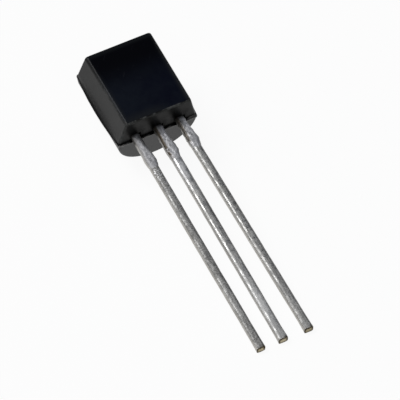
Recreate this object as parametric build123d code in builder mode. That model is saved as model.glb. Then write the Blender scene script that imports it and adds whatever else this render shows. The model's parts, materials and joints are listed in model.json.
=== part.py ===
from build123d import *
import math
import os

os.makedirs("parts", exist_ok=True)

# Moulded body, millimetres and degrees
body_width = 4.48  # across the parting line, without the flash
body_height = 4.73  # along the leads, at the parting line
front_depth = 1.53  # parting line to flat face
flat_width = 3.75  # flat face, measured to the sharp corners of its sides
flat_edge_radius = 0.2  # where the flat face turns into the slanted sides
front_end_draft = 3.5  # at the lead end
front_top_draft = 1.0
front_end_radius = 0.12
back_end_draft = 5.0
back_end_radius = 0.1
parting_step = 0.1  # how much further the back half reaches at the lead end
flash_height = 0.02  # thin rim squeezed out between the mould halves
flash_bulge = 0.15  # and this much further halfway along the sides
flash_thickness = 0.05
ejector_diameter = 1.6  # round mark left by the mould's ejector pin
ejector_depth = 0.2  # below the crown of the round back

# Leads outside the body
lead_pitch = 1.27
outer_lead_width = 0.49
middle_lead_width = 0.53
lead_thickness = 0.4
lead_length = 13.9
lead_edge_radius = 0.15  # stamping and the tin dip round the edges
slot_depth = 0.15  # open slot around each lead, as deep as the tin reaches into the body
slot_clearance = 0.05
emitter_drift = -0.1  # sideways stray of each lead tip
base_drift = -0.11
collector_drift = 0.07

# Stubs where the bar that joined the leads was cut away
stub_start = 0.6
stub_peak = 1.7
stub_end = 2.1
right_stub_height = 0.11  # the punch cut nearer to one side of each lead
left_stub_height = 0.04
stub_corner_radius = 0.15

# Lead frame inside the body
post_rise = 1.05  # lead end of the body to the wire posts
post_width = 0.85
post_height = 0.55
paddle_rise = 2.0
paddle_width = 2.2
paddle_height = 1.7

# Silicon die and the layer that holds it on the paddle
die_size = 0.7
die_thickness = 0.2
attach_thickness = 0.03
attach_margin = 0.05

# Bond wires
wire_diameter = 0.05
wire_loop_height = 0.25  # above the die
wire_bend_radius = 0.1
ball_diameter = 0.12
ball_height = 0.04
pad_shares = {"emitter": (-0.25, -0.1), "base": (0.25, -0.25)}  # pads, in die sizes from its centre

# The round back is half a cylinder, as wide as the body
back_radius = body_width / 2
front_inset = front_depth * math.tan(math.radians(front_end_draft))
top_inset = front_depth * math.tan(math.radians(front_top_draft))
back_slope = math.tan(math.radians(back_end_draft))
back_inset = back_radius * back_slope

# The part lies flat face up, on the rounded lead end of its back and on the lead tips
round_out = back_radius - back_end_radius
round_in = round_out * back_slope + back_end_radius / math.cos(math.radians(back_end_draft))
heel_up = round_in - parting_step
heel_reach = math.hypot(heel_up + lead_length, round_out)
tilt = math.atan2(round_out, heel_up + lead_length) + math.asin(back_end_radius / heel_reach)
near_end = -lead_length * math.cos(tilt) - lead_thickness * math.sin(tilt)
crown_end = (body_height - round_in) * math.cos(tilt) + round_out * math.sin(tilt) + back_end_radius
rim_end = (body_height + flash_height) * math.cos(tilt) + flash_thickness * math.sin(tilt)
ahead = -(near_end + max(crown_end, rim_end)) / 2
above = lead_length * math.sin(tilt)

# Parting plane: X across the leads, Y up the body from its lead end, Z out through the flat face
parting = Plane(Location((0, ahead, above), (math.degrees(tilt), 0, 0)))
top_section = Plane(parting.from_local_coords((0, body_height, 0)), parting.x_dir, -parting.y_dir)
side_section = Plane(parting.origin, parting.y_dir, parting.x_dir)
lengthwise = Axis(parting.origin, parting.y_dir)
outward = Axis(parting.origin, parting.z_dir)

# Leads, each stamped in one piece with the post or the paddle that it carries
paddle_x = lead_pitch + outer_lead_width / 2 - paddle_width / 2
leads = {
    "emitter_lead": (-lead_pitch, outer_lead_width, emitter_drift),
    "base_lead": (0, middle_lead_width, base_drift),
    "collector_lead": (lead_pitch, outer_lead_width, collector_drift),
}
heads = {
    "emitter_lead": (-lead_pitch, post_rise, post_width, post_height),
    "base_lead": (0, post_rise, post_width, post_height),
    "collector_lead": (paddle_x, paddle_rise, paddle_width, paddle_height),
}
pieces = {}
for name, (x, width, drift) in leads.items():
    head_x, head_rise, head_width, head_height = heads[name]
    half = width / 2
    with BuildPart() as lead:
        with BuildSketch(parting):
            with BuildLine():
                right = [
                    (x + half, slot_depth),
                    (x + half, -stub_start),
                    (x + half + right_stub_height, -stub_peak),
                    (x + half, -stub_end),
                    (x + drift + half, -lead_length),
                ]
                left = [
                    (x + drift - half, -lead_length),
                    (x - half, -stub_end),
                    (x - half - left_stub_height, -stub_peak),
                    (x - half, -stub_start),
                    (x - half, slot_depth),
                ]
                Polyline(*right, *left, close=True)
            make_face()
            fillet(vertices().group_by(Axis.Y)[1:-1], radius=stub_corner_radius)
        extrude(amount=lead_thickness)
        faces_along = lead.edges().group_by(outward)
        rims = faces_along[0] + faces_along[-1]
        fillet(rims.filter_by(Axis.X, reverse=True), radius=lead_edge_radius)
        with BuildSketch(parting):
            with Locations((x, slot_depth)):
                Rectangle(width, head_rise - slot_depth, align=(Align.CENTER, Align.MIN))
            with Locations((head_x, head_rise)):
                Rectangle(head_width, head_height, align=(Align.CENTER, Align.MIN))
        extrude(amount=lead_thickness)
    pieces[name] = lead.part

# Die attach and die, on the flat side of the paddle
die_y = paddle_rise + paddle_height / 2
paddle_face = parting.offset(lead_thickness)
with BuildPart() as die_attach:
    with BuildSketch(paddle_face):
        with Locations((paddle_x, die_y)):
            Rectangle(die_size + 2 * attach_margin, die_size + 2 * attach_margin)
    extrude(amount=attach_thickness)
pieces["die_attach"] = die_attach.part

with BuildPart() as silicon_die:
    with BuildSketch(paddle_face.offset(attach_thickness)):
        with Locations((paddle_x, die_y)):
            Rectangle(die_size, die_size)
    extrude(amount=die_thickness)
pieces["silicon_die"] = silicon_die.part

# Bond wires, from a ball on the die over one bend down to a post, where the end lies flush on the metal
die_top = lead_thickness + attach_thickness + die_thickness
wire_ends = {"emitter": -lead_pitch, "base": 0}
for name, post_x in wire_ends.items():
    pad_x = paddle_x + pad_shares[name][0] * die_size
    pad_y = die_y + pad_shares[name][1] * die_size
    post_y = post_rise + post_height / 2
    route = [
        parting.from_local_coords((pad_x, pad_y, die_top)),
        parting.from_local_coords((pad_x, pad_y, die_top + wire_loop_height)),
        parting.from_local_coords((post_x, post_y, lead_thickness - wire_diameter)),
    ]
    with BuildPart() as wire:
        with BuildLine():
            FilletPolyline(*route, radius=wire_bend_radius)
        with BuildSketch(parting.offset(die_top)):
            with Locations((pad_x, pad_y)):
                Circle(wire_diameter / 2)
        sweep()
        split(bisect_by=paddle_face, keep=Keep.TOP)
        with BuildSketch(parting.offset(die_top)):
            with Locations((pad_x, pad_y)):
                Circle(ball_diameter / 2)
        extrude(amount=ball_height)
    pieces[name + "_bond_wire"] = wire.part

# Front half of the moulding: flat face, slanted sides and drafted ends
with BuildPart() as front_half:
    with BuildSketch(top_section):
        with BuildLine():
            Polyline(
                (-body_width / 2, 0),
                (body_width / 2, 0),
                (flat_width / 2, front_depth),
                (-flat_width / 2, front_depth),
                close=True,
            )
        make_face()
        fillet(vertices().group_by(Axis.Y)[-1], radius=flat_edge_radius)
    extrude(amount=body_height)
    with BuildSketch(side_section):
        with BuildLine():
            Polyline(
                (0, 0),
                (body_height, 0),
                (body_height - top_inset, front_depth),
                (front_inset, front_depth),
                close=True,
            )
        make_face()
    extrude(amount=body_width, both=True, mode=Mode.INTERSECT)
    ends = front_half.faces().sort_by(lengthwise)
    end_edges = ends[0].edges().sort_by(outward)[1:] + ends[-1].edges().sort_by(outward)[1:]
    fillet(end_edges, radius=front_end_radius)

# Back half: half a cylinder with drafted ends, a little longer at the lead end
with BuildPart() as back_half:
    with BuildSketch(top_section):
        Circle(back_radius)
        with Locations((0, 0)):
            Rectangle(body_width, body_width, align=(Align.CENTER, Align.MIN), mode=Mode.SUBTRACT)
    extrude(amount=body_height + parting_step)
    with BuildSketch(side_section):
        with BuildLine():
            Polyline(
                (-parting_step, 0),
                (body_height, 0),
                (body_height - back_inset, -back_radius),
                (back_inset - parting_step, -back_radius),
                close=True,
            )
        make_face()
    extrude(amount=body_width, both=True, mode=Mode.INTERSECT)
    ends = back_half.faces().sort_by(lengthwise)
    end_edges = ends[0].edges().sort_by(outward)[:-1] + ends[-1].edges().sort_by(outward)[:-1]
    fillet(end_edges, radius=back_end_radius)

# Both halves in one moulding, with flash between them and a slot for each lead, around what it seals in
with BuildPart() as epoxy_body:
    add(front_half.part)
    add(back_half.part)
    with BuildSketch(parting.offset(-flash_thickness)):
        with BuildLine():
            low = -parting_step - flash_height
            high = body_height + flash_height
            side = body_width / 2 + flash_height
            Line((-side, low), (side, low))
            ThreePointArc((side, low), (side + flash_bulge, (low + high) / 2), (side, high))
            Line((side, high), (-side, high))
            ThreePointArc((-side, high), (-side - flash_bulge, (low + high) / 2), (-side, low))
        make_face()
        fillet(vertices(), radius=back_end_radius + flash_height)
    extrude(amount=flash_thickness)
    with BuildSketch(parting.offset(-back_radius)):
        with Locations((0, body_height / 2)):
            Circle(ejector_diameter / 2)
    extrude(amount=ejector_depth, mode=Mode.SUBTRACT)
    with BuildSketch(parting):
        for x, width, drift in leads.values():
            with Locations((x, (slot_depth - parting_step) / 2)):
                Rectangle(width + 2 * slot_clearance, slot_depth + parting_step)
    extrude(amount=lead_thickness + slot_clearance, mode=Mode.SUBTRACT)
    for sealed in pieces.values():
        add(sealed, mode=Mode.SUBTRACT)
pieces["epoxy_body"] = epoxy_body.part

for name, piece in pieces.items():
    piece.label = name
    export_step(piece, f"parts/{name}.step")
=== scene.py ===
import bpy
import json
import math
from mathutils import Matrix, Vector


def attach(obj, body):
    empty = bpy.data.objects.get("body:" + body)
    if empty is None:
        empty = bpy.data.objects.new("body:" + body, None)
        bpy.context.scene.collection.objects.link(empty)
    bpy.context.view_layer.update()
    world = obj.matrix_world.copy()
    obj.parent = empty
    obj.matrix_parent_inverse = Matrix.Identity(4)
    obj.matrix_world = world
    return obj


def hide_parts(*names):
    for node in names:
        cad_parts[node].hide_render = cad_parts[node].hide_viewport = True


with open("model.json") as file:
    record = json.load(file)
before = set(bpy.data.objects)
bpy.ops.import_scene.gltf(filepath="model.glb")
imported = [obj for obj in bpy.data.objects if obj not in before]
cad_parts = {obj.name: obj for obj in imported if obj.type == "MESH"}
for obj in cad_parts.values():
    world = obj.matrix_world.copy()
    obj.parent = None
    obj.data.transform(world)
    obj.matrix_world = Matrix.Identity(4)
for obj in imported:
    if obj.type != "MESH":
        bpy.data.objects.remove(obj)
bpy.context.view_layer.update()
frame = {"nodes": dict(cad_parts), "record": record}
nodes = frame["nodes"]
mounts = {mount["name"]: mount for mount in frame["record"]["mounts"]}
mm = 0.001
print("frame loaded:", len(nodes), "nodes")


# Node helpers: a value that is a socket is linked, any other is set on the input

def put(tree, kind, inputs=None, **settings):
    node = tree.nodes.new(kind)
    for name, value in settings.items():
        setattr(node, name, value)
    for name, value in (inputs or {}).items():
        if isinstance(value, bpy.types.NodeSocket):
            tree.links.new(value, node.inputs[name])
        else:
            node.inputs[name].default_value = value
    return node


def calc(tree, operation, *values, clamp=False):
    inputs = dict(enumerate(values))
    return put(tree, "ShaderNodeMath", inputs, operation=operation, use_clamp=clamp).outputs[0]


def chain(tree, operation, first, *others):
    for other in others:
        first = calc(tree, operation, first, other)
    return first


def product(tree, *values):
    return chain(tree, "MULTIPLY", *values)


def largest(tree, *values):
    return chain(tree, "MAXIMUM", *values)


def centred(tree, texture):
    return calc(tree, "SUBTRACT", texture, 0.5)


def remainder(tree, share):
    return calc(tree, "SUBTRACT", 1.0, share)


def ramp(tree, value, fromLow, fromHigh, toLow=0.0, toHigh=1.0, smooth=True):
    ends = {"Value": value, "From Min": fromLow, "From Max": fromHigh, "To Min": toLow, "To Max": toHigh}
    kind = "SMOOTHSTEP" if smooth else "LINEAR"
    return put(tree, "ShaderNodeMapRange", ends, interpolation_type=kind).outputs["Result"]


def between(tree, share, first, second):
    return ramp(tree, share, 0, 1, first, second, smooth=False)


def mask(tree, *fades):
    return product(tree, *[ramp(tree, value, *ends) for value, ends in fades])


def blendColours(tree, share, first, second, mode="MIX"):
    inputs = {0: share, 6: first, 7: second}  # a Mix node's colours are its sockets 6 and 7
    return put(tree, "ShaderNodeMix", inputs, data_type="RGBA", blend_type=mode).outputs[2]


def coverColour(tree, colour, layers):
    for share, layer in layers:
        colour = blendColours(tree, share, colour, layer)
    return colour


def tint(tree, colour, tone):
    shade = put(tree, "ShaderNodeCombineColor", {0: tone, 1: tone, 2: tone}).outputs[0]
    return blendColours(tree, 1.0, colour, shade, "MULTIPLY")


def noise(tree, vector, scale, detail, roughness):
    inputs = {"Vector": vector, "Scale": scale, "Detail": detail, "Roughness": roughness}
    return put(tree, "ShaderNodeTexNoise", inputs).outputs["Fac"]


def stretch(tree, vector, factors):
    return put(tree, "ShaderNodeVectorMath", {0: vector, 1: factors}, operation="MULTIPLY").outputs[0]


def newGroup(name, kind, inputs, outputs):
    group = bpy.data.node_groups.new(name, kind)
    for direction, sockets in (("INPUT", inputs), ("OUTPUT", outputs)):
        for label, socketKind in sockets.items():
            group.interface.new_socket(label, in_out=direction, socket_type="NodeSocket" + socketKind)
    return group


def useGroup(tree, group, **inputs):
    return put(tree, "ShaderNodeGroup", inputs, node_tree=group).outputs


# Sizes of the leads, which give the part's own axes too

lead = {
    "thickness": 0.40 * mm,
    "length": 13.9 * mm,
    "edgeRadius": 0.15 * mm,
    "crown": 0.030 * mm,       # tin stands highest along the middle of each face
    "stubStart": 0.6 * mm,
    "stubLeft": 0.04 * mm,
    "stubRight": 0.11 * mm,
    "crinkle": 0.085 * mm,     # torn metal and lumpy tin from the body to the stubs
    "crinkleScale": 5600,
    "wave": 0.022 * mm,        # uneven coat further down
    "waveScale": 4200,
    "cutSlant": 0.03 * mm,     # the shear drags the front edge of the tip back
    "tipSquare": 0.5,          # and presses the coat flat there
    "rings": 420,
    "around": 56,
}
post = {  # carries a bond wire inside the body
    "headTop": 1.60 * mm, "headRise": 1.05 * mm, "headLeft": 0.425 * mm, "headRight": 0.425 * mm,
}
paddle = {  # carries the chip
    "headTop": 3.70 * mm, "headRise": 2.00 * mm, "headLeft": 1.955 * mm, "headRight": 0.245 * mm,
}
leadRuns = {  # what differs from lead to lead: place, stub, finish
    "emitter_lead": {
        "centre": -1.286 * mm, "width": 0.482 * mm, "drift": -0.09 * mm, **post,
        "stubPeak": 1.7 * mm, "stubEnd": 2.1 * mm, "neckSwell": 1.0, "neckRight": -0.6, "seed": 0.0,
        "dullness": 1.0, "tone": 0.84, "sideTone": 1.22, "stain": 0.3, "fresh": 0.8,
    },
    "base_lead": {
        "centre": 0.0, "width": 0.53 * mm, "drift": -0.11 * mm, **post,
        "stubPeak": 1.55 * mm, "stubEnd": 2.0 * mm, "neckSwell": 0.0, "neckRight": 0.9, "seed": 3.7,
        "dullness": 0.5, "tone": 1.08, "sideTone": 1.0, "stain": 1.0, "fresh": 0.45,
    },
    "collector_lead": {
        "centre": 1.27 * mm, "width": 0.505 * mm, "drift": 0.07 * mm, **paddle,
        "stubPeak": 1.4 * mm, "stubEnd": 1.9 * mm, "neckSwell": 0.0, "neckRight": 0.9, "seed": 7.4,
        "dullness": 0.45, "tone": 0.95, "sideTone": 1.25, "stain": 0.9, "fresh": 0.0,
    },
}

# The part's axes, tilted as it lies: X across the leads, Y up the body, Z out through the flat face
flatOut = Vector(mounts["flat_face"]["axis"])
leadDown = Vector(mounts["lead_tips"]["axis"])
tipPlace = Vector(mounts["lead_tips"]["pos_m"])
tilt = math.atan2(-flatOut.y, flatOut.z)
leadEnd = tipPlace - leadDown * lead["length"] - flatOut * lead["thickness"] / 2  # on the parting plane
frontDepth = (Vector(mounts["flat_face"]["pos_m"]) - leadEnd).dot(flatOut)


# Shared shader effects

effects = {
    "grain": (3.0, 0.6),          # detail and roughness of a noise
    "cloud": (4.0, 0.55),
    "fibre": (1.0, 2.0, 0.5),     # scale as well
    "hairline": (0.72, 0.78),     # only the highest ridges of the fibre show
}


def partMillimetresGroup():
    group = newGroup("partMillimetres", "ShaderNodeTree", {}, {"Place": "Vector"})
    place = put(group, "ShaderNodeTexCoord").outputs["Object"]
    inputs = {"Vector": place, "Location": leadEnd, "Rotation": (tilt, 0, 0), "Scale": (mm, mm, mm)}
    turned = put(group, "ShaderNodeMapping", inputs, vector_type="TEXTURE").outputs[0]
    put(group, "NodeGroupOutput", {"Place": turned})
    return group


def fineGrainGroup():
    inputs = {"Place": "Vector", "Fine": "Float", "Coarse": "Float"}
    group = newGroup("fineGrain", "ShaderNodeTree", inputs, {"Height": "Float", "Cloud": "Float"})
    given = put(group, "NodeGroupInput").outputs
    height = noise(group, given["Place"], given["Fine"], *effects["grain"])
    cloud = noise(group, given["Place"], given["Coarse"], *effects["cloud"])
    put(group, "NodeGroupOutput", {"Height": height, "Cloud": cloud})
    return group


def hairlinesGroup():
    inputs = {"Place": "Vector", "Turn": "Vector", "Stretch": "Vector"}
    group = newGroup("hairlines", "ShaderNodeTree", inputs, {"Lines": "Float"})
    given = put(group, "NodeGroupInput").outputs
    inputs = {"Vector": given["Place"], "Rotation": given["Turn"]}
    turned = put(group, "ShaderNodeVectorRotate", inputs, rotation_type="EULER_XYZ").outputs[0]
    fibre = noise(group, stretch(group, turned, given["Stretch"]), *effects["fibre"])
    put(group, "NodeGroupOutput", {"Lines": ramp(group, fibre, *effects["hairline"])})
    return group


partMillimetres = partMillimetresGroup()
fineGrain = fineGrainGroup()
hairlines = hairlinesGroup()
print("shader groups ready")


# Materials. A pair of numbers says where an effect starts and where it is full, mostly in millimetres
# along one of the part's axes; a second pair gives its strength at those two places.

def newMaterial(name, **constants):
    material = bpy.data.materials.new(name)
    material.use_nodes = True
    tree = material.node_tree
    shader = tree.nodes["Principled BSDF"]
    for label, value in constants.items():
        shader.inputs[label].default_value = value
    place = useGroup(tree, partMillimetres)["Place"]
    return material, tree, shader, place


def finish(tree, shader, links):
    for label, value in links.items():
        tree.links.new(value, shader.inputs[label])


epoxy = {
    "flatColour": (0.0024, 0.0034, 0.0090, 1),   # polished by the mould, slightly blue
    "flatPale": (0.0058, 0.0080, 0.0136, 1),
    "flatShade": (0.0003, 0.0004, 0.0016, 1),     # painted shade, darkest towards the top
    "flatPaleBands": (0.0120, 0.0135, 0.0155, 1),   # paler along its sides, low on the left and at the top
    "sideColour": (0.0020, 0.0020, 0.0021, 1),   # matt, as eroded mould faces leave it
    "sidePale": (0.0055, 0.0054, 0.0052, 1),
    "scuffColour": (0.030, 0.032, 0.038, 1),
    "wornHighlightColour": (0.075, 0.077, 0.075, 1),      # edges rubbed pale, partly a painted highlight along the rounded edges
    "ledgeLightColour": (0.160, 0.155, 0.150, 1),       # painted light on the ledge at the lead end, which the front half shades
    "footLightColour": (0.038, 0.038, 0.038, 1),      # painted light along the foot of the sides and on the flash beside it
    "exitShadeColour": (0.0004, 0.0004, 0.0004, 1),  # painted shade where the leads come out
    "specular": 0.05,
    "flatRoughness": 0.24,
    "sideRoughness": 0.44,
    "endRoughness": 0.34,                        # lead end of the front half
    "edgeRoughness": 0.16,                       # added where the flat's edges are rubbed
    "speckRoughness": 0.22,
    "sheenRoughness": 0.38,                      # wax that the mould leaves,
    "flatSheen": 0.10,                           # thin on the flat face,
    "sideSheen": 0.46,                           # thick on the sides,
    "topSheen": 0.39,                            # less so at their top,
    "endSheen": 0.16,                            # thin at the lead end,
    "footSheen": 0.30,                           # gathered at the foot of the sides
    "edgeSheen": -0.10,                          # and rubbed off the flat's edges
    "grainScale": 22.0,
    "cloudScale": 1.6,
    "bumpDepth": 0.004 * mm,
    "bumpStrength": 0.55,
    "flatBump": 0.33,                            # share of the grain's height on the flat face
    "halfWidth": 2.24,                           # of the body at the parting line
    "flatHalfWidth": 1.72,
    "sideSlant": 0.239,                          # of the front half's sides
    "endSlant": 0.061,
    "leadPitch": 1.27,                           # the painted shade round the lead exits repeats at this pitch
    # Uneven patches
    "clouds": (0.3, 0.7),
    "chipNoise": (3.5, 3.0, 0.6),                # scale, detail, roughness
    "chips": (0.38, 0.64),
    # Flat face, rounded edges beside it and lead end of the front half
    "lowEnd": (0.40, 0.25),
    "flatStart": (0.052, 0.010),                 # depth below the flat, along its sides and at the low end
    "flatFull": (0.030, 0.003),
    "edge": (0.2, 0.1),
    "endUp": (0.16, 0.11),
    "endOut": (0.0, 0.03),
    "cloudShare": 0.6,
    "paleLeft": (1.2, -1.6, -0.1, 0.5),
    # where the painted shade on the flat face fades in
    "deepUp": (1.7, 3.8),
    "paleBandSide": (0.20, 0.0, 0.0, 0.6),
    "paleBandUp": (4.4, 1.0),
    "paleBandLow": (0.75, 0.2),
    "paleBandLeft": (1.0, -0.4, 0.0, 0.8),
    "paleBandTop": (4.3, 4.6, 0.0, 0.5),
    "scuffs": ((0.7, 34, 0.9), (-0.5, 26, 1.6)),  # turn, fineness across and along
    "scuffShare": 0.35,
    # Painted shade round the lead exits
    "exitShadeRagged": 0.12,
    "exitShadeAcross": (0.66, 0.36),
    "exitShadeReach": (0.4, 0.9, 1.55, 1.80),       # how far the row of shaded patches reaches to the sides
    "exitShadeOuter": (0.2, 0.0),
    "exitShadeTop": (1.30, 0.50),
    "exitShadeFoot": (-0.03, -0.01),
    "exitShadeUp": (0.30, 0.20),
    # Painted light on the ledge at the lead end and along the foot of the sides
    "rimRagged": -0.06,
    "rimStart": (1.5, 2.0, -0.01, 0.06),
    "rimDown": (0.0, 0.04),
    "rimOut": (0.06, 0.04),
    "footIn": (-0.12, -0.05),
    "footOut": (0.08, -0.02),
    "footTop": (0.24, 0.02),
    "footLow": (-0.012, -0.004),
    "footUp": (0.1, 0.6, 0.0, 0.9),
    # Worn edges and painted highlight along the rounded edges
    "chipped": (0.065, 0.04),
    "roundingStart": (0.030, 0.015),             # along the sides and at the low end
    "roundingFade": (0.0, 0.03),
    "roundingEnd": (0.18, 0.09),
    "wornLeft": (-1.2, -1.6),
    "wornUp": (4.4, 2.0),
    "wornLow": 1.35,
    "wornRight": (1.66, 1.78, 0.0, 0.4),
    "corner": (0.16, 0.06),
    "cornerOut": (0.05, 0.15),
    "wornChips": (0.2, 0.5),
    # Wax
    "waxUp": (0.8, 4.4),
    "gatheredTop": (0.28, 0.04),
    "gatheredLow": (0.0, 0.02),
    "waxlessChips": (0.4, 1.0),
}


def flatFace(tree, at, cloud):
    pale = calc(tree, "MULTIPLY_ADD", cloud, epoxy["cloudShare"], ramp(tree, at["X"], *epoxy["paleLeft"]))
    colour = blendColours(tree, pale, epoxy["flatColour"], epoxy["flatPale"])
    # Painted shade darkens the flat face towards its top
    colour = blendColours(tree, ramp(tree, at["Y"], *epoxy["deepUp"]), colour, epoxy["flatShade"])
    # Paler bands along the sides, low on the left and along the top
    fromSide = calc(tree, "SUBTRACT", epoxy["flatHalfWidth"], calc(tree, "ABSOLUTE", at["X"]))
    sides = mask(tree, (fromSide, epoxy["paleBandSide"]), (at["Y"], epoxy["paleBandUp"]))
    low = mask(tree, (at["Y"], epoxy["paleBandLow"]), (at["X"], epoxy["paleBandLeft"]))
    top = ramp(tree, at["Y"], *epoxy["paleBandTop"])
    return blendColours(tree, largest(tree, sides, low, top), colour, epoxy["flatPaleBands"])


# Painted shade on the front half's lead end round each lead exit, where the leads shade the end face; the coat
# is taken away there too
def leadExitShade(tree, at, chips):
    fromLead = calc(tree, "PINGPONG", at["X"], epoxy["leadPitch"] / 2)
    ragged = calc(tree, "MULTIPLY_ADD", chips, epoxy["exitShadeRagged"], fromLead)
    reach = ramp(tree, at["Z"], *epoxy["exitShadeReach"])
    outer = calc(tree, "SUBTRACT", calc(tree, "ABSOLUTE", at["X"]), reach)
    return mask(
        tree,
        (ragged, epoxy["exitShadeAcross"]),
        (outer, epoxy["exitShadeOuter"]),
        (at["Z"], epoxy["exitShadeTop"]),
        (at["Z"], epoxy["exitShadeFoot"]),
        (at["Y"], epoxy["exitShadeUp"]),
    )


# Painted light on the ledge of the back half at the lead end, lifting the front half's shadow there
def ledgeLight(tree, at, chips):
    start = calc(tree, "MULTIPLY_ADD", chips, epoxy["rimRagged"], ramp(tree, at["X"], *epoxy["rimStart"]))
    down = calc(tree, "SUBTRACT", start, at["Y"])
    return mask(tree, (down, epoxy["rimDown"]), (calc(tree, "ABSOLUTE", at["Z"]), epoxy["rimOut"]))


# Painted light along the foot of the sides, where the flash keeps the floor out of their reflection
def footLight(tree, at):
    fromFoot = calc(tree, "SUBTRACT", calc(tree, "ABSOLUTE", at["X"]), epoxy["halfWidth"])
    return mask(
        tree,
        (fromFoot, epoxy["footIn"]),
        (fromFoot, epoxy["footOut"]),
        (at["Z"], epoxy["footTop"]),
        (at["Z"], epoxy["footLow"]),
        (at["Y"], epoxy["footUp"]),
    )


# Pale chips on the low edge are wear; the pale band along the rounded edges and the facet's corner is partly
# wear and partly a painted highlight
def wornHighlitEdges(tree, at, sunk, lowEnd, offFlat, chips):
    chipped = product(tree, ramp(tree, sunk, *epoxy["chipped"]), offFlat, chips, lowEnd)
    below = calc(tree, "SUBTRACT", sunk, between(tree, lowEnd, *epoxy["roundingStart"]))
    rounding = mask(tree, (sunk, epoxy["roundingEnd"]), (below, epoxy["roundingFade"]))
    left = mask(tree, (at["X"], epoxy["wornLeft"]), (at["Y"], epoxy["wornUp"]))
    rubbed = product(tree, largest(tree, left, product(tree, lowEnd, epoxy["wornLow"])), rounding)
    right = mask(tree, (at["X"], epoxy["wornRight"]), (sunk, epoxy["roundingEnd"]))
    fromAxis = calc(tree, "ADD", at["X"], epoxy["halfWidth"])
    fromFacet = calc(tree, "MULTIPLY_ADD", at["Z"], -epoxy["sideSlant"], fromAxis)
    fromEnd = calc(tree, "MULTIPLY_ADD", at["Z"], -epoxy["endSlant"], at["Y"])
    corner = mask(tree, (fromFacet, epoxy["corner"]), (fromEnd, epoxy["corner"]), (at["Z"], epoxy["cornerOut"]))
    rubbed = product(tree, largest(tree, rubbed, right, corner), between(tree, chips, *epoxy["wornChips"]))
    return largest(tree, chipped, rubbed)


def waxSheen(tree, at, onFlat, onEnd, edge, chips):
    wax = ramp(tree, at["Y"], *epoxy["waxUp"], epoxy["sideSheen"], epoxy["topSheen"], smooth=False)
    gathered = mask(tree, (at["Z"], epoxy["gatheredTop"]), (at["Z"], epoxy["gatheredLow"]))
    wax = calc(tree, "MULTIPLY_ADD", gathered, epoxy["footSheen"], wax)
    sheen = between(tree, onEnd, wax, epoxy["endSheen"])
    waxless = product(tree, edge, between(tree, chips, *epoxy["waxlessChips"]))
    sheen = calc(tree, "MULTIPLY_ADD", waxless, epoxy["edgeSheen"], sheen)
    return between(tree, onFlat, sheen, epoxy["flatSheen"])


def blackEpoxy():
    constants = {"Specular IOR Level": epoxy["specular"], "Coat Roughness": epoxy["sheenRoughness"]}
    material, tree, shader, place = newMaterial("blackEpoxy", **constants)
    at = put(tree, "ShaderNodeSeparateXYZ", {0: place}).outputs
    grain = useGroup(tree, fineGrain, Place=place, Fine=epoxy["grainScale"], Coarse=epoxy["cloudScale"])
    speck = centred(tree, grain["Height"])
    cloud = ramp(tree, grain["Cloud"], *epoxy["clouds"])
    chips = ramp(tree, noise(tree, place, *epoxy["chipNoise"]), *epoxy["chips"])

    # Where a point lies: flat face, rounded edges beside it, lead end of the front half
    sunk = calc(tree, "SUBTRACT", frontDepth / mm, at["Z"])
    lowEnd = ramp(tree, at["Y"], *epoxy["lowEnd"])
    flatStart = between(tree, lowEnd, *epoxy["flatStart"])
    onFlat = ramp(tree, sunk, flatStart, between(tree, lowEnd, *epoxy["flatFull"]))
    offFlat = remainder(tree, onFlat)
    edge = product(tree, ramp(tree, sunk, *epoxy["edge"]), offFlat)
    onEnd = mask(tree, (at["Y"], epoxy["endUp"]), (at["Z"], epoxy["endOut"]))
    bodyExitShade = leadExitShade(tree, at, chips)
    clear = remainder(tree, bodyExitShade)

    scuffs = []
    for turn, across, along in epoxy["scuffs"]:
        drawn = useGroup(tree, hairlines, Place=place, Turn=(0, 0, turn), Stretch=(across, along, 1))
        scuffs.append(drawn["Lines"])
    scuffed = product(tree, largest(tree, *scuffs), onFlat, epoxy["scuffShare"])

    side = blendColours(tree, cloud, epoxy["sideColour"], epoxy["sidePale"])
    colour = coverColour(tree, side, (
        (onFlat, flatFace(tree, at, cloud)),
        (bodyExitShade, epoxy["exitShadeColour"]),
        (product(tree, ledgeLight(tree, at, chips), clear), epoxy["ledgeLightColour"]),
        (footLight(tree, at), epoxy["footLightColour"]),
        (wornHighlitEdges(tree, at, sunk, lowEnd, offFlat, chips), epoxy["wornHighlightColour"]),
        (scuffed, epoxy["scuffColour"]),
    ))

    sheen = product(tree, waxSheen(tree, at, onFlat, onEnd, edge, chips), clear)
    matt = between(tree, onEnd, epoxy["sideRoughness"], epoxy["endRoughness"])
    matt = calc(tree, "MULTIPLY_ADD", edge, epoxy["edgeRoughness"], matt)
    matt = between(tree, onFlat, matt, epoxy["flatRoughness"])
    roughness = calc(tree, "MULTIPLY_ADD", speck, epoxy["speckRoughness"], matt)
    height = product(tree, speck, between(tree, onFlat, 1.0, epoxy["flatBump"]))
    inputs = {"Height": height, "Strength": epoxy["bumpStrength"], "Distance": epoxy["bumpDepth"]}
    normal = put(tree, "ShaderNodeBump", inputs).outputs[0]
    links = {"Base Color": colour, "Roughness": roughness, "Coat Weight": sheen, "Normal": normal}
    finish(tree, shader, links)
    return material


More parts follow.
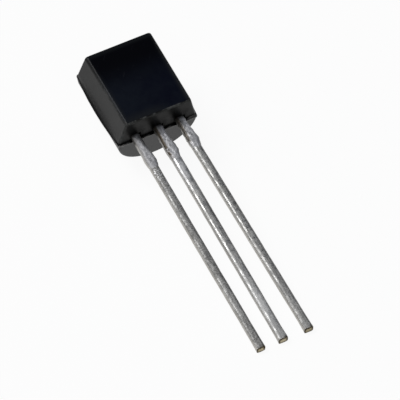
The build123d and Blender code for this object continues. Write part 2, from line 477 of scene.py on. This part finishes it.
tin = {
    "dark": (0.33, 0.325, 0.315, 1),
    "pale": (0.62, 0.615, 0.60, 1),
    "worked": (0.60, 0.60, 0.62, 1),       # matt and bluish from the body to the stubs
    "side": (0.45, 0.435, 0.405, 1),       # sheared sides take less tin
    "bright": (0.95, 0.95, 0.98, 1),       # painted highlight below the stubs and on the right of the neck
    "tipPale": (0.80, 0.80, 0.80, 1),        # paler towards the tips
    "stain": (0.110, 0.094, 0.074, 1),     # oxide on the left sides near the body, deepened with painted shade, and painted shade on the right edges
    "neckShade": (0.030, 0.027, 0.025, 1),     # painted shade where a lead leaves the body
    "copper": (0.44, 0.39, 0.27, 1),       # bare alloy on the cut end
    "smear": (0.085, 0.068, 0.042, 1),     # dragged over its rim by the shear
    "workedShare": 0.75,
    "sideShare": 0.75,
    "neckShadeShare": 0.85,
    "smearShare": 0.85,
    "roughness": 0.36,
    "dullRoughness": 0.32,                 # added on a dull lead,
    "brokenRoughness": 0.24,               # in patches,
    "pittedRoughness": 0.05,               # on a pitted lead
    "lowRoughness": 0.12,                  # and towards the tips
    "workedRoughness": 0.52,               # from the body to the stubs
    "dullWorked": 0.16,                    # added there on a dull lead
    "speckRoughness": (0.2, 0.6),          # on a smooth lead and on a pitted one
    "grainScale": 12.0,
    "cloudScale": 2.4,
    "bumpDepth": 0.006 * mm,
    "bumpStrength": 0.25,
    # Mottled coat
    "streaks": (11.0, 0.55, 11.0),
    "streakNoise": (1.0, 3.0, 0.6),        # scale, detail, roughness
    "grainy": (0.5, 1.0),                  # dullness of a grainy lead
    "pitted": (0.4, 0.0),                  # freshness of a pitted lead
    "grit": (0.4, 1.5),
    "pittedGrit": 0.5,
    "mottle": (0.28, 0.72),
    "broken": (0.38, 0.62),
    # Paler towards the tips; painted glints and highlight below the stubs
    "lowEnd": (-8.0, -11.5),
    "tipPaleTone": (0.92, 1.08, 0.0, 0.5),
    "tipPaleRun": (-13.6, -12.0, 0.45, 1.0),
    "spots": (0.02, 0.16),
    "glintRun": (-4.8, -2.4),
    # Worked metal, oxide and painted shade near the body
    "workedEdge": (0.35, 0.65),
    "rightEdge": (0.62, 0.92, 0.0, 0.42),
    "patchRun": (-1.9, -0.4, 0.0, 0.35),
    "patches": (0.42, 0.60),
    "neckShadeExit": (-0.15, 0.05),
    "neckShadeSide": (-0.7, -0.25),
    "neckShadeRagged": 0.5,
    # Sheared tip
    "dragged": (0.20, 0.04),
    "draggedRim": (0.06, 0.02, 0.0, 0.7),
    "onCorner": (0.0, 0.6),
    "cornerRagged": 1.2,
    "torn": (0.45, 0.85),
    "tornFront": (-0.2, 1.0, 0.0, 0.4),
    "tornRagged": 0.8,
}
leadMasks = (  # kept with each lead's mesh
    "worked", "side", "bare", "dull", "tone", "sideTone", "fresh", "stain", "neck", "across", "deep",
)


def tinnedCopper():
    material, tree, shader, place = newMaterial("tinnedCopper", Metallic=1.0)
    along = put(tree, "ShaderNodeSeparateXYZ", {0: place}).outputs["Y"]
    masks = {name: put(tree, "ShaderNodeAttribute", attribute_name=name).outputs["Fac"] for name in leadMasks}
    grain = useGroup(tree, fineGrain, Place=place, Fine=tin["grainScale"], Coarse=tin["cloudScale"])
    speck = centred(tree, grain["Height"])
    grainy = ramp(tree, masks["dull"], *tin["grainy"], smooth=False)
    pitted = ramp(tree, masks["fresh"], *tin["pitted"], smooth=False)
    worked = ramp(tree, masks["worked"], *tin["workedEdge"])
    lowEnd = ramp(tree, along, *tin["lowEnd"])

    # Mottled coat, paler towards the tips, with painted glints and highlight below the stubs
    streak = noise(tree, stretch(tree, place, tin["streaks"]), *tin["streakNoise"])
    gritty = calc(tree, "MULTIPLY_ADD", pitted, tin["pittedGrit"], between(tree, grainy, *tin["grit"]))
    mottle = ramp(tree, calc(tree, "MULTIPLY_ADD", speck, gritty, streak), *tin["mottle"])
    coat = tint(tree, blendColours(tree, mottle, tin["dark"], tin["pale"]), masks["tone"])
    # Paler towards the tips
    tipPaling = product(tree, lowEnd, mask(tree, (masks["tone"], tin["tipPaleTone"]), (along, tin["tipPaleRun"])))
    spotted = between(tree, grainy, 1.0, ramp(tree, speck, *tin["spots"]))
    # Painted glints on a grainy lead and a painted highlight band on a smooth one, below the stubs
    fresh = product(tree, masks["fresh"], spotted, ramp(tree, along, *tin["glintRun"]))

    # Oxide and painted shade in patches on the left edges, and painted shade where the leads leave the body
    patches = calc(tree, "ADD", grain["Cloud"], ramp(tree, along, *tin["patchRun"]))
    oxideShade = product(tree, masks["stain"], masks["worked"], ramp(tree, patches, *tin["patches"]))
    # Painted shade at each lead's exit, along its left side near the body and on the right of a neck with
    # negative Neck Right
    raggedAlong = calc(tree, "MULTIPLY_ADD", centred(tree, grain["Cloud"]), tin["neckShadeRagged"], along)
    onSide = product(tree, ramp(tree, raggedAlong, *tin["neckShadeSide"]), masks["side"])
    atExit = ramp(tree, along, *tin["neckShadeExit"])
    neckShade = largest(tree, atExit, onSide, calc(tree, "MULTIPLY", masks["neck"], -1.0))

    # Sheared tip
    toTip = calc(tree, "ADD", along, lead["length"] / mm)
    onCorner = calc(tree, "MULTIPLY_ADD", speck, tin["cornerRagged"], masks["across"])
    dragged = mask(tree, (toTip, tin["dragged"]), (onCorner, tin["onCorner"]))
    dragged = largest(tree, dragged, ramp(tree, toTip, *tin["draggedRim"]))
    fromMiddle = largest(tree, calc(tree, "ABSOLUTE", masks["across"]), calc(tree, "ABSOLUTE", masks["deep"]))
    torn = calc(tree, "ADD", fromMiddle, ramp(tree, masks["deep"], *tin["tornFront"]))
    torn = calc(tree, "MULTIPLY_ADD", speck, tin["tornRagged"], torn)
    cut = blendColours(tree, ramp(tree, torn, *tin["torn"]), tin["copper"], tin["smear"])

    colour = coverColour(tree, coat, (
        (tipPaling, tin["tipPale"]),
        # Painted highlight below the stubs
        (fresh, tin["bright"]),
        (product(tree, worked, tin["workedShare"]), tin["worked"]),
        (product(tree, masks["side"], tin["sideShare"]), tint(tree, tin["side"], masks["sideTone"])),
        # Painted shade along the right edge of every lead
        (ramp(tree, masks["across"], *tin["rightEdge"]), tin["stain"]),
        # Painted highlight on the right of the neck
        (largest(tree, masks["neck"], 0.0), tin["bright"]),
        # Oxide and painted shade on the left edge near the body
        (oxideShade, tin["stain"]),
        # Painted shade near the body
        (product(tree, neckShade, tin["neckShadeShare"]), tin["neckShade"]),
        (product(tree, dragged, tin["smearShare"]), tin["smear"]),
        (masks["bare"], cut),
    ))

    rough = calc(tree, "MULTIPLY_ADD", masks["dull"], tin["dullRoughness"], tin["roughness"])
    broken = centred(tree, ramp(tree, grain["Cloud"], *tin["broken"]))
    rough = calc(tree, "MULTIPLY_ADD", broken, tin["brokenRoughness"], rough)
    rough = calc(tree, "MULTIPLY_ADD", pitted, tin["pittedRoughness"], rough)
    lowMatt = calc(tree, "SUBTRACT", lowEnd, grainy, clamp=True)
    rough = calc(tree, "MULTIPLY_ADD", lowMatt, tin["lowRoughness"], rough)
    workedRough = calc(tree, "MULTIPLY_ADD", masks["dull"], tin["dullWorked"], tin["workedRoughness"])
    rough = between(tree, worked, rough, workedRough)
    speckRough = between(tree, pitted, *tin["speckRoughness"])
    rough = calc(tree, "MULTIPLY_ADD", speck, speckRough, rough, clamp=True)
    inputs = {"Height": grain["Height"], "Strength": tin["bumpStrength"], "Distance": tin["bumpDepth"]}
    normal = put(tree, "ShaderNodeBump", inputs).outputs[0]
    finish(tree, shader, {"Base Color": colour, "Roughness": rough, "Normal": normal})
    return material


inner = {  # slot: darker colour, paler colour, metallic, roughness, grain size
    "silicon": ((0.10, 0.105, 0.125, 1), (0.20, 0.21, 0.24, 1), 0.6, 0.18, 12.0),
    "die_solder": ((0.32, 0.32, 0.33, 1), (0.55, 0.55, 0.54, 1), 1.0, 0.45, 30.0),
    "bond_gold": ((0.72, 0.50, 0.17, 1), (0.88, 0.68, 0.30, 1), 1.0, 0.22, 60.0),
}
innerGrain = {
    "coarseShare": 0.25,        # cloud scale, of the grain's
    "clouds": (0.3, 0.7),
    "roughnessSpread": 0.2,
}


def sealedMetal(slot):
    dark, pale, metallic, roughness, size = inner[slot]
    material, tree, shader, place = newMaterial(slot + "Finish", Metallic=metallic)
    grain = useGroup(tree, fineGrain, Place=place, Fine=size, Coarse=size * innerGrain["coarseShare"])
    colour = blendColours(tree, ramp(tree, grain["Cloud"], *innerGrain["clouds"]), dark, pale)
    spread = innerGrain["roughnessSpread"]
    rough = calc(tree, "MULTIPLY_ADD", grain["Height"], spread, roughness - spread / 2)
    finish(tree, shader, {"Base Color": colour, "Roughness": rough})
    return material


def dress(node, material):
    node.data.materials.clear()
    node.data.materials.append(material)


tinned = tinnedCopper()
dress(nodes["epoxy_body"], blackEpoxy())
for subpart in frame["record"]["subparts"]:
    slot = subpart["material_slot"]
    if slot in inner:
        dress(nodes[subpart["node"]], bpy.data.materials.get(slot + "Finish") or sealedMetal(slot))
print("materials ready:", len(bpy.data.materials))


# Leads: a rounded section swept from the head inside the body to the cut tip

leadForm = {
    "cornerPoints": 8,
    "squareRun": 0.8 * mm,             # corners fill out over this length before the tip
    "slantRun": 2.0,                   # length of the slanted cut, in cut slants
    "cutDepth": 0.001 * mm,            # what lies this near to the end is bare
    "rimAngle": math.radians(50),      # edges sharper than this stay sharp
    "waveStretch": (1.0, 0.3, 1.0),
    "waveLeast": 0.4,                  # share of the wave on a lead that isn't dull
    "waveFade": 0.4 * mm,              # before the tip
    "lumpDetail": 2.0,
    "sideRadius": 0.4,                 # share of the edge radius that counts as side
    "leftStart": (0.25, 0.60),         # oxide and painted shade on the left edge, in half widths
    "leftEnd": (0.99, 0.90),
    "rightStart": (-0.05, 0.45),       # painted highlight on the right of the neck, painted shade there for a negative Neck Right
    "rightEnd": (1.0, 0.75),
    "neckRun": (1.2 * mm, 0.6 * mm),
    "workedRun": (1.12, 0.92),         # in stub ends
}


def socketName(key):
    return "".join(" " + letter if letter.isupper() else letter for letter in key).title()


leadInputs = {socketName(key): "Float" for key in (*lead, *leadRuns["base_lead"])}
leadInputs.update({"Rings": "Int", "Around": "Int", "Place": "Vector", "Tilt": "Vector", "Finish": "Material"})


def sweptSection(tree, size):
    tip = put(tree, "ShaderNodeCombineXYZ", {"Y": calc(tree, "MULTIPLY", size["Length"], -1.0)}).outputs[0]
    top = put(tree, "ShaderNodeCombineXYZ", {"Y": size["Head Top"]}).outputs[0]
    path = put(tree, "GeometryNodeCurvePrimitiveLine", {"Start": top, "End": tip}).outputs["Curve"]
    path = put(tree, "GeometryNodeResampleCurve", {"Curve": path, "Count": size["Rings"]}).outputs["Curve"]
    path = put(tree, "GeometryNodeSetCurveNormal", {"Curve": path}, mode="Z_UP").outputs["Curve"]
    inputs = {"Width": size["Width"], "Height": size["Thickness"]}
    box = put(tree, "GeometryNodeCurvePrimitiveQuadrilateral", inputs).outputs[0]
    inputs = {"Curve": box, "Radius": size["Edge Radius"], "Count": leadForm["cornerPoints"]}
    rounded = put(tree, "GeometryNodeFilletCurve", inputs, mode="POLY").outputs[0]
    section = put(tree, "GeometryNodeResampleCurve", {"Curve": rounded, "Count": size["Around"]}).outputs[0]
    inputs = {"Curve": path, "Profile Curve": section, "Fill Caps": True}
    return put(tree, "GeometryNodeCurveToMesh", inputs).outputs[0]


def shapedSection(tree, size, at, down, half):
    halfDeep = calc(tree, "DIVIDE", size["Thickness"], 2.0)

    # Corners fill out towards the tip
    squareStart = calc(tree, "SUBTRACT", size["Length"], leadForm["squareRun"])
    square = product(tree, ramp(tree, down, squareStart, size["Length"]), size["Tip Square"])
    within, over, spot = {}, {}, {}
    for axis, reach in (("X", half), ("Z", halfDeep)):
        distance = calc(tree, "ABSOLUTE", at[axis])
        within[axis] = calc(tree, "MINIMUM", distance, calc(tree, "SUBTRACT", reach, size["Edge Radius"]))
        over[axis] = calc(tree, "SUBTRACT", distance, within[axis])
    grow = calc(tree, "DIVIDE", size["Edge Radius"], largest(tree, over["X"], over["Z"]))
    factor = calc(tree, "MULTIPLY_ADD", calc(tree, "SUBTRACT", grow, 1.0), square, 1.0)
    for axis in ("X", "Z"):
        distance = calc(tree, "MULTIPLY_ADD", over[axis], factor, within[axis])
        spot[axis] = product(tree, distance, calc(tree, "SIGN", at[axis]))
    across = calc(tree, "DIVIDE", spot["X"], half)
    deep = calc(tree, "DIVIDE", spot["Z"], halfDeep)

    # Stub, head and stray move each side of the section by its own amount
    rise = ramp(tree, down, size["Stub Start"], size["Stub Peak"], smooth=False)
    fall = ramp(tree, down, size["Stub End"], size["Stub Peak"], smooth=False)
    hump = calc(tree, "MINIMUM", rise, fall)
    onHead = calc(tree, "GREATER_THAN", at["Y"], size["Head Rise"])
    reach = {}
    for name in ("Left", "Right"):
        headReach = calc(tree, "SUBTRACT", size["Head " + name], half)
        stubReach = product(tree, hump, size["Stub " + name])
        reach[name] = calc(tree, "MULTIPLY_ADD", onHead, headReach, stubReach)
    sideShare = calc(tree, "DIVIDE", spot["X"], calc(tree, "SUBTRACT", half, size["Edge Radius"]))
    toRight = calc(tree, "MINIMUM", largest(tree, sideShare, 0.0), 1.0)
    toLeft = largest(tree, calc(tree, "MINIMUM", sideShare, 0.0), -1.0)
    rightMove = product(tree, toRight, reach["Right"])
    leftMove = product(tree, toLeft, reach["Left"])
    stray = ramp(tree, down, size["Stub End"], size["Length"], 0.0, size["Drift"], smooth=False)
    x = chain(tree, "ADD", spot["X"], rightMove, leftMove, stray, size["Centre"])

    # The faces are crowned, and more so where the neck swells
    neck = product(tree, ramp(tree, down, size["Stub Peak"], size["Stub Start"]), size["Neck Swell"])
    swell = calc(tree, "MULTIPLY_ADD", neck, size["Crown"], size["Crown"])
    swell = product(tree, swell, remainder(tree, square))
    sag = product(tree, across, across, swell)
    z = calc(tree, "SUBTRACT", spot["Z"], product(tree, deep, sag))
    z = calc(tree, "ADD", z, halfDeep)

    # The tip is cut a little slanted
    slantRun = calc(tree, "MULTIPLY", size["Cut Slant"], leadForm["slantRun"])
    cutting = ramp(tree, down, calc(tree, "SUBTRACT", size["Length"], slantRun), size["Length"])
    frontShare = calc(tree, "MULTIPLY_ADD", deep, 0.5, 0.5)
    y = calc(tree, "MULTIPLY_ADD", product(tree, cutting, frontShare), size["Cut Slant"], at["Y"])
    shaped = put(tree, "ShaderNodeCombineXYZ", {"X": x, "Y": y, "Z": z}).outputs[0]
    return shaped, across, deep


def finishMasks(tree, size, down, half, across, deep):
    radiusShare = calc(tree, "DIVIDE", size["Edge Radius"], half)
    sideStart = remainder(tree, calc(tree, "MULTIPLY", radiusShare, leadForm["sideRadius"]))
    toLeft = calc(tree, "MULTIPLY", across, -1.0)
    leftEdge = mask(tree, (toLeft, leadForm["leftStart"]), (toLeft, leadForm["leftEnd"]))
    onRight = mask(tree, (across, leadForm["rightStart"]), (across, leadForm["rightEnd"]))
    workedRun = [calc(tree, "MULTIPLY", size["Stub End"], share) for share in leadForm["workedRun"]]
    cutStart = calc(tree, "SUBTRACT", size["Length"], leadForm["cutDepth"])
    return {
        "worked": ramp(tree, down, *workedRun),
        "side": ramp(tree, calc(tree, "ABSOLUTE", across), sideStart, 1.0),
        "bare": calc(tree, "GREATER_THAN", down, cutStart),
        "dull": size["Dullness"],
        "tone": size["Tone"],
        "sideTone": size["Side Tone"],
        "fresh": size["Fresh"],
        # Oxide and painted shade on the left edge near the body
        "stain": product(tree, leftEdge, size["Stain"]),
        # Painted highlight on the right of the neck; a negative Neck Right turns it into painted shade
        "neck": product(tree, onRight, ramp(tree, down, *leadForm["neckRun"]), size["Neck Right"]),
        "across": across,
        "deep": deep,
    }


def lumpyTin(tree, size, place, down):
    lumps = []
    drawn = stretch(tree, place, leadForm["waveStretch"])
    for spot, scale in ((place, "Crinkle Scale"), (drawn, "Wave Scale")):
        inputs = {"Vector": spot, "W": size["Seed"], "Scale": size[scale], "Detail": leadForm["lumpDetail"]}
        texture = put(tree, "ShaderNodeTexNoise", inputs, noise_dimensions="4D").outputs["Fac"]
        lumps.append(centred(tree, texture))
    worked = put(tree, "GeometryNodeInputNamedAttribute", {"Name": "worked"}, data_type="FLOAT").outputs[0]
    crinkled = product(tree, lumps[0], size["Crinkle"], worked)
    share = calc(tree, "ADD", size["Dullness"], leadForm["waveLeast"])
    fadeStart = calc(tree, "SUBTRACT", size["Length"], leadForm["waveFade"])
    waved = product(tree, share, size["Wave"], ramp(tree, down, size["Length"], fadeStart))
    height = calc(tree, "MULTIPLY_ADD", lumps[1], waved, crinkled)
    normal = put(tree, "GeometryNodeInputNormal").outputs[0]
    return put(tree, "ShaderNodeVectorMath", {0: normal, "Scale": height}, operation="SCALE").outputs[0]


def leadTree():
    tree = newGroup("tinnedLead", "GeometryNodeTree", leadInputs, {"Lead": "Geometry"})
    size = put(tree, "NodeGroupInput").outputs
    place = put(tree, "GeometryNodeInputPosition").outputs[0]
    at = put(tree, "ShaderNodeSeparateXYZ", {0: place}).outputs
    down = calc(tree, "MULTIPLY", at["Y"], -1.0)
    half = calc(tree, "DIVIDE", size["Width"], 2.0)

    # Masks for the finish go with the mesh, from the section's own coordinates
    mesh = sweptSection(tree, size)
    shaped, across, deep = shapedSection(tree, size, at, down, half)
    for name, value in finishMasks(tree, size, down, half, across, deep).items():
        inputs = {"Geometry": mesh, "Name": name, "Value": value}
        stored = put(tree, "GeometryNodeStoreNamedAttribute", inputs, data_type="FLOAT", domain="POINT")
        mesh = stored.outputs[0]
    mesh = put(tree, "GeometryNodeSetPosition", {"Geometry": mesh, "Position": shaped}).outputs[0]
    inputs = {"Geometry": mesh, "Offset": lumpyTin(tree, size, place, down)}
    mesh = put(tree, "GeometryNodeSetPosition", inputs).outputs[0]

    # Smooth faces with a sharp rim at the cut, laid in place
    inputs = {"Geometry": mesh, "Shade Smooth": True}
    mesh = put(tree, "GeometryNodeSetShadeSmooth", inputs, domain="FACE").outputs[0]
    angle = put(tree, "GeometryNodeInputMeshEdgeAngle").outputs["Unsigned Angle"]
    rim = calc(tree, "GREATER_THAN", angle, leadForm["rimAngle"])
    inputs = {"Geometry": mesh, "Selection": rim, "Shade Smooth": False}
    mesh = put(tree, "GeometryNodeSetShadeSmooth", inputs, domain="EDGE").outputs[0]
    inputs = {"Geometry": mesh, "Translation": size["Place"], "Rotation": size["Tilt"]}
    mesh = put(tree, "GeometryNodeTransform", inputs).outputs[0]
    mesh = put(tree, "GeometryNodeRealizeInstances", {"Geometry": mesh}).outputs[0]
    mesh = put(tree, "GeometryNodeSetMaterial", {"Geometry": mesh, "Material": size["Finish"]}).outputs[0]
    put(tree, "NodeGroupOutput", {"Lead": mesh})
    return tree


def makeLead(tree, node, run):
    values = {socketName(key): value for key, value in {**lead, **run}.items()}
    values.update({"Place": leadEnd, "Tilt": (tilt, 0, 0), "Finish": tinned})
    piece = bpy.data.objects.new("tinned_" + node, bpy.data.meshes.new(node))
    bpy.context.scene.collection.objects.link(piece)
    modifier = piece.modifiers.new("tinnedLead", "NODES")
    modifier.node_group = tree
    for socket in tree.interface.items_tree:
        if socket.in_out == "INPUT":
            modifier[socket.identifier] = values[socket.name]
    depsgraph = bpy.context.evaluated_depsgraph_get()
    mesh = bpy.data.meshes.new_from_object(piece.evaluated_get(depsgraph), depsgraph=depsgraph)
    piece.modifiers.clear()
    piece.data = mesh
    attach(piece, "root")
    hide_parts(node)
    print("lead", piece.name, len(mesh.polygons), "faces")


tinnedLead = leadTree()
for node, run in leadRuns.items():
    makeLead(tinnedLead, node, run)


# Studio: white floor, softboxes and a room that is dark overhead

studio = {
    "floorSize": 3.0,
    "floorColour": (0.94, 0.94, 0.94, 1),
    "floorWhite": 0.93,        # share of plain white that the camera and mirrors see
    "zenith": (0.10, 0.11, 0.125, 1),
    "horizonLeft": (0.55, 0.55, 0.55, 1),
    "horizonRight": (0.14, 0.14, 0.15, 1),
    "horizonTurn": (-0.2, 0.6),
    "zenithRise": (0.0, 0.8),
}
softboxes = {  # direction from the part, distance, width, height, radiance
    "keySoftbox": ((-0.38, 0.32, 0.87), 0.35, 0.20, 0.16, 7.0),
    "fillSoftbox": ((-0.45, -0.75, 0.75), 0.45, 0.45, 0.45, 0.4),
}


def makeFloor():
    half = studio["floorSize"] / 2
    corners = [(-half, -half, 0), (half, -half, 0), (half, half, 0), (-half, half, 0)]
    mesh = bpy.data.meshes.new("studioFloor")
    mesh.from_pydata(corners, [], [(0, 1, 2, 3)])
    floor = bpy.data.objects.new("studioFloor", mesh)
    bpy.context.scene.collection.objects.link(floor)
    material = bpy.data.materials.new("paperWhite")
    material.use_nodes = True
    tree = material.node_tree
    tree.nodes.clear()
    paper = put(tree, "ShaderNodeBsdfDiffuse", {"Color": studio["floorColour"]}).outputs[0]
    white = put(tree, "ShaderNodeEmission", {"Strength": 1.0}).outputs[0]
    ray = put(tree, "ShaderNodeLightPath").outputs
    seen = largest(tree, ray["Is Camera Ray"], ray["Is Glossy Ray"], ray["Is Transmission Ray"])
    share = product(tree, seen, studio["floorWhite"])
    surface = put(tree, "ShaderNodeMixShader", {0: share, 1: paper, 2: white}).outputs[0]
    put(tree, "ShaderNodeOutputMaterial", {"Surface": surface})
    mesh.materials.append(material)


def makeSoftbox(name, direction, distance, width, height, radiance):
    light = bpy.data.lights.new(name, "AREA")
    light.shape = "RECTANGLE"
    light.size, light.size_y = width, height
    light.energy = radiance * math.pi * width * height
    lamp = bpy.data.objects.new(name, light)
    back = Vector(direction).normalized()
    lamp.location = back * distance
    lamp.rotation_euler = back.to_track_quat("Z", "Y").to_euler()
    bpy.context.scene.collection.objects.link(lamp)


def makeRoom():
    world = bpy.data.worlds.new("studioRoom")
    world.use_nodes = True
    tree = world.node_tree
    direction = put(tree, "ShaderNodeTexCoord").outputs["Generated"]
    toward = put(tree, "ShaderNodeSeparateXYZ", {0: direction}).outputs
    turned = ramp(tree, toward["X"], *studio["horizonTurn"])
    horizon = blendColours(tree, turned, studio["horizonLeft"], studio["horizonRight"])
    raised = ramp(tree, toward["Z"], *studio["zenithRise"])
    colour = blendColours(tree, raised, horizon, studio["zenith"])
    tree.links.new(colour, tree.nodes["Background"].inputs["Color"])
    bpy.context.scene.world = world


makeFloor()
makeRoom()
for name, facts in softboxes.items():
    makeSoftbox(name, *facts)


# Camera at the photograph's angle

view = {
    "azimuth": math.radians(-28.018),
    "elevation": math.radians(49.638),
    "roll": math.radians(0.109),
    "distance": 311.25 * mm,
    "aimRight": 0.0685 * mm,
    "aimUp": 0.868 * mm,
    "pixelsPerMetre": 19642.0,  # at the distance of the origin
    "imagePixels": 400,
    "clip": (0.01, 10),
}


def makeCamera():
    azimuth, elevation = view["azimuth"], view["elevation"]
    level = math.cos(elevation)
    back = Vector((math.sin(azimuth) * level, -math.cos(azimuth) * level, math.sin(elevation)))
    right = Vector((0, 0, 1)).cross(back).normalized()
    up = back.cross(right)
    place = back * view["distance"] + right * view["aimRight"] + up * view["aimUp"]
    data = bpy.data.cameras.new("photoCamera")
    data.lens = view["pixelsPerMetre"] * view["distance"] / view["imagePixels"] * data.sensor_width
    data.clip_start, data.clip_end = view["clip"]
    camera = bpy.data.objects.new("photoCamera", data)
    turn = Matrix((right, up, back)).transposed() @ Matrix.Rotation(view["roll"], 3, "Z")
    camera.matrix_world = Matrix.Translation(place) @ turn.to_4x4()
    bpy.context.scene.collection.objects.link(camera)
    bpy.context.scene.camera = camera


makeCamera()
bpy.context.scene.view_settings.view_transform = "Standard"
print("studio and camera ready")
